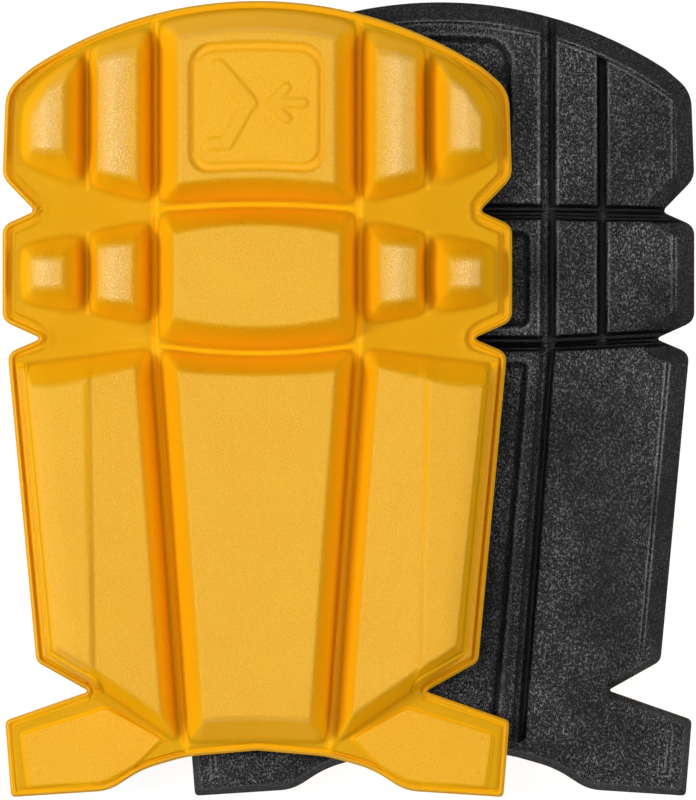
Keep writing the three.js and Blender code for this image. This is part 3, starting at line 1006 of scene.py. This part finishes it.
def combined(tree, operation, a, b):
    """The sum or product of two values, each a number or another node's output."""
    made = node(tree, "ShaderNodeMath", {"operation": operation})
    for socket, value in zip(made.inputs, (a, b)):
        if isinstance(value, float):
            socket.default_value = value
        else:
            tree.links.new(value, socket)
    return made.outputs["Value"]


def multiplied(tree, a, b):
    return combined(tree, "MULTIPLY", a, b)


def added(tree, a, b):
    return combined(tree, "ADD", a, b)


def foam_material(name):
    """A new material: itself, its node tree, its shader, and the values its meshes carry."""
    material = bpy.data.materials.new(name)
    material.use_nodes = True
    tree = material.node_tree
    place, finish_and_painted_light = [
        node(tree, "ShaderNodeAttribute", {"attribute_name": name}).outputs[output]
        for name, output in (("pad_mm", "Vector"), ("finish_and_painted_light", "Fac"))
    ]
    return material, tree, tree.nodes["Principled BSDF"], place, finish_and_painted_light


def add_bump(tree, shader, height, distance):
    """Links a height to the shader's normal, as bumps that are this high in metres."""
    bump = node(tree, "ShaderNodeBump", Strength=1.0, Distance=distance)
    tree.links.new(height, bump.inputs["Height"])
    tree.links.new(bump.outputs["Normal"], shader.inputs["Normal"])


def cushion_material():
    """Yellow foam: speckled and shiny on the tops of the blocks, smooth and dull in the grooves. Painted
    shade darkens the web and turns the grooves a saturated orange, the slopes are painted a little lighter,
    and painted sparkles and highlights lie on the tops.
    """
    material, tree, shader, place, finish_and_painted_light = foam_material("yellow_foam")
    mottle = ramp(tree, noise(tree, place, 0.045, 4.0), *MIDDLE)
    speckle = noise(tree, place, 2.0, 3.0, (1.0, 0.8, 1.0))
    fine = noise(tree, place, 3.2, 2.0)
    top = ramp(tree, finish_and_painted_light, *NEAR_TOP)
    # Painted shade: darker on the web, saturated orange in the grooves.
    web = mixed(tree, mottle, *SHADED_WEB_COLOURS)
    colour = mixed(tree, ramp(tree, finish_and_painted_light, *IN_GROOVE), SHADED_GROOVE_COLOUR, web)
    # Painted light on the slopes.
    colour = mixed(tree, ramp(tree, finish_and_painted_light, *ON_SLOPE), colour, LIGHTENED_SLOPE_COLOUR)
    colour = mixed(tree, top, colour, mixed(tree, mottle, *TOP_COLOURS))
    # Painted sparkle highlights on the tops.
    painted_sparkle = multiplied(tree, ramp(tree, fine, 0.50, 0.72), multiplied(tree, top, 0.8))
    colour = mixed(tree, painted_sparkle, colour, SPARKLE_HIGHLIGHT_COLOUR)
    # Painted highlight where the finish passes 1.
    worn = ramp(tree, finish_and_painted_light, *HIGHLIGHT_RANGE, 0.0, 0.55)
    worn = multiplied(tree, worn, ramp(tree, fine, 0.42, 0.68))
    tree.links.new(mixed(tree, worn, colour, HIGHLIGHT_COLOUR), shader.inputs["Base Color"])

    rough = ramp(tree, speckle, *MIDDLE, 0.26, 0.42)
    rough = multiplied(tree, rough, ramp(tree, finish_and_painted_light, *PAST_TOP, 1.0, 0.8))
    tree.links.new(rough, shader.inputs["Roughness"])
    gloss = ramp(tree, finish_and_painted_light, *NEAR_TOP, 0.03, 0.36)
    gloss = added(tree, gloss, ramp(tree, finish_and_painted_light, *PAST_TOP, 0.0, 0.6))
    tree.links.new(gloss, shader.inputs["Specular IOR Level"])

    strength = ramp(tree, finish_and_painted_light, 0.55, 1.0, 0.15, 1.0)
    coarse_grain = multiplied(tree, speckle, strength)
    fine_grain = multiplied(tree, fine, multiplied(tree, strength, 0.5))
    add_bump(tree, shader, added(tree, coarse_grain, fine_grain), CUSHION_BUMP)
    return material


def shell_material():
    """Black foam with a pebbled leather grain on its faces and smooth channels and bevels. The grain's
    bright flecks are painted glints, and painted highlights lie along raised lines and edges.
    """
    material, tree, shader, place, finish_and_painted_light = foam_material("black_foam")
    pebbles = noise(tree, place, 1.6, 1.5, (1.3, 0.85, 1.0))
    fine = noise(tree, place, 3.8, 1.0)
    patches = ramp(tree, noise(tree, place, 0.035, 3.0), 0.35, 0.65)
    # Painted glints on the grain.
    coarse_glints = multiplied(tree, ramp(tree, pebbles, *PEAKS), 0.6)
    fine_glints = multiplied(tree, ramp(tree, fine, *PEAKS), 0.5)
    light = multiplied(tree, added(tree, coarse_glints, fine_glints), finish_and_painted_light)
    # Painted highlight along raised lines and edges, where the finish passes 1.
    light = added(tree, light, ramp(tree, finish_and_painted_light, 1.0, 2.0, 0.0, 0.5))
    colour = mixed(tree, light, SHELL_COLOUR, mixed(tree, patches, *GLINT_COLOURS))
    tree.links.new(colour, shader.inputs["Base Color"])
    tree.links.new(ramp(tree, fine, *MIDDLE, 0.16, 0.28), shader.inputs["Roughness"])
    shader.inputs["Specular IOR Level"].default_value = SHELL_SPECULAR
    coarse_grain = multiplied(tree, pebbles, ramp(tree, finish_and_painted_light, 0.0, 1.0, 0.08, 1.0))
    add_bump(tree, shader, added(tree, coarse_grain, multiplied(tree, fine, 0.25)), SHELL_BUMP)
    return material


# ---- Assembly

ROWS = ("thigh", "knee", "shin")
PADS = ("bottom_pad", "top_pad")
LAYERS = {  # material, slot, and how much of its box the padding fills
    "cushion": (cushion_material(), "cushion_foam", 0.7),
    "shell": (shell_material(), "shell_foam", 0.9),
}


def pad_placement(pad):
    """The function that takes points of a pad's frame, in millimetres, to the model's frame."""
    shell_low, shell_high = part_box(f"{pad}_knee_centre_shell")
    cushion_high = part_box(f"{pad}_knee_centre_cushion")[1]
    middle_x = (shell_low.x + shell_high.x) / 2
    upward = 1.0 if cushion_high.z > shell_high.z else -1.0
    face_z = shell_low.z if upward > 0 else shell_high.z
    knee_middle_y = (THIGH_FOLD_Y + SHIN_FOLD_Y) / 2 * MM
    shift_y = (shell_low.y + shell_high.y) / 2 - knee_middle_y

    def to_world(points):
        x = middle_x + upward * MM * points[..., 0]
        y = shift_y + MM * points[..., 1]
        z = face_z + upward * MM * points[..., 2]
        return np.stack([x, y, z], axis=-1)

    return to_world


def hinge(row, column, sign):
    """The living hinge that a segment bends at: the name of the segment on its near side, and
    where the bend starts and ends."""
    if column == "centre":
        y, way = (THIGH_FOLD_Y, 1) if row == "thigh" else (SHIN_FOLD_Y, -1)
        return "knee_centre", (0, y), (0, y + way * BLEND_LENGTH)
    if row == "wing":
        start, end, parent = ARCH_END, WING_NOTCH, f"shin_{column}"
    elif row == "shin":
        start, end, parent = ARCH_END, LOWER_CROSS, "shin_centre"
    else:
        start, end, parent = (WRAP_X, 0.0), (WRAP_X, 1.0), f"{row}_centre"
    start, end = np.array(start), np.array(end)
    across = (end - start) / np.linalg.norm(end - start)
    away = np.array((across[1], -across[0])) * BLEND_LENGTH
    return parent, tuple(end * (sign, 1)), tuple((end + away) * (sign, 1))


def place_piece(pad, to_world, row, column, layer, arrays):
    """Makes one segment's piece of one layer. Only the centre piece of the knee is tied to its body."""
    sign = -1 if column == "left" else 1
    body = f"{pad}_{row}_{column}"
    material, slot, fill = LAYERS[layer]
    name = f"{body}_{layer}_foam"
    flip = (sign < 0) != (layer == "shell")
    mesh = make_mesh(name, arrays, flip, to_world)
    mesh.materials.append(material)
    piece = bpy.data.objects.new(name, mesh)
    bpy.context.scene.collection.objects.link(piece)
    if (row, column) == ("knee", "centre"):
        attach(piece, body)
    else:
        parent, start, end = hinge(row, column, sign)
        ends = to_world(np.array([(*start, WEB_TOP), (*end, WEB_TOP)]))
        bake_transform(piece)
    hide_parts(f"{body}_{layer}")


def build_pads():
    """Both pads, from one set of shapes. The left half of a pad mirrors its right half."""
    centre, side = centre_patches(), side_patches()
    for layer in LAYERS:
        shapes = {}
        for row in ROWS:
            shapes[row, "centre"] = segment_arrays(centre[row], layer, row, False)
        for row in side:
            right = segment_arrays(side[row], layer, row, True)
            shapes[row, "right"] = right
            shapes[row, "left"] = (right[0] * (-1, 1, 1), *right[1:])
        for pad in PADS:
            to_world = pad_placement(pad)
            for (row, column), arrays in shapes.items():
                place_piece(pad, to_world, row, column, layer, arrays)


# ---- Studio

FLOOR_DROP = 0.0002  # how far the floor lies below the part
FLOOR_GREY = 0.18
FLOOR_GLOW = 0.92
WORLD_GLOW = 0.21
AREA_LIGHTS = [  # name, location, size, watts; all of them point at the origin
    ("key_left", (-1.0, 0.05, 0.95), (0.25, 0.5), 9.6),
    ("fill_right", (1.0, 0.05, 0.95), (0.5, 0.7), 6.3),
    ("fill_top", (-0.48, 0.05, 1.55), (0.35, 0.45), 6.6),
]
CAMERA_LENS = 400
CAMERA_SENSOR = 36
CAMERA_XY = (-0.0003, -0.0003)
VIEW_HEIGHT = 0.2506  # what the picture's longer side spans at the target
TARGET_SHARE = 0.8  # the target's height, as a share of the part's


def make_floor():
    """A pale floor that glows a little, so that it stays white."""
    floor_z = cad_bounds[0].z - FLOOR_DROP
    bpy.ops.mesh.primitive_plane_add(size=6, location=(0, 0, floor_z))
    floor = bpy.context.object
    floor.name = "studio_floor"
    material = bpy.data.materials.new("studio_paper")
    material.use_nodes = True
    shader = material.node_tree.nodes["Principled BSDF"]
    shader.inputs["Base Color"].default_value = (FLOOR_GREY, FLOOR_GREY, FLOOR_GREY, 1)
    shader.inputs["Roughness"].default_value = 0.9
    shader.inputs["Emission Color"].default_value = (1, 1, 1, 1)
    shader.inputs["Emission Strength"].default_value = FLOOR_GLOW
    floor.data.materials.append(material)


def make_light():
    """An even white surrounding and three soft lamps."""
    scene = bpy.context.scene
    world = bpy.data.worlds.new("studio")
    world.use_nodes = True
    background = world.node_tree.nodes["Background"]
    background.inputs["Color"].default_value = (1, 1, 1, 1)
    background.inputs["Strength"].default_value = WORLD_GLOW
    scene.world = world
    scene.view_settings.view_transform = "Standard"
    for name, location, size, power in AREA_LIGHTS:
        light = bpy.data.lights.new(name, "AREA")
        light.shape = "RECTANGLE"
        light.size, light.size_y = size
        light.energy = power
        lamp = bpy.data.objects.new(name, light)
        lamp.location = location
        lamp.rotation_euler = (-Vector(location)).to_track_quat("-Z", "Y").to_euler()
        scene.collection.objects.link(lamp)


def make_camera():
    """Straight above, with a long lens, as a catalogue photograph is taken."""
    camera = bpy.data.cameras.new("catalogue_camera")
    camera.lens = CAMERA_LENS
    camera.sensor_width = CAMERA_SENSOR
    distance = VIEW_HEIGHT * CAMERA_LENS / CAMERA_SENSOR
    camera.clip_end = 2 * distance
    lens = bpy.data.objects.new("catalogue_camera", camera)
    lens.location = (*CAMERA_XY, cad_bounds[1].z * TARGET_SHARE + distance)
    bpy.context.scene.collection.objects.link(lens)
    bpy.context.scene.camera = lens


make_camera()
build_pads()
make_floor()
make_light()
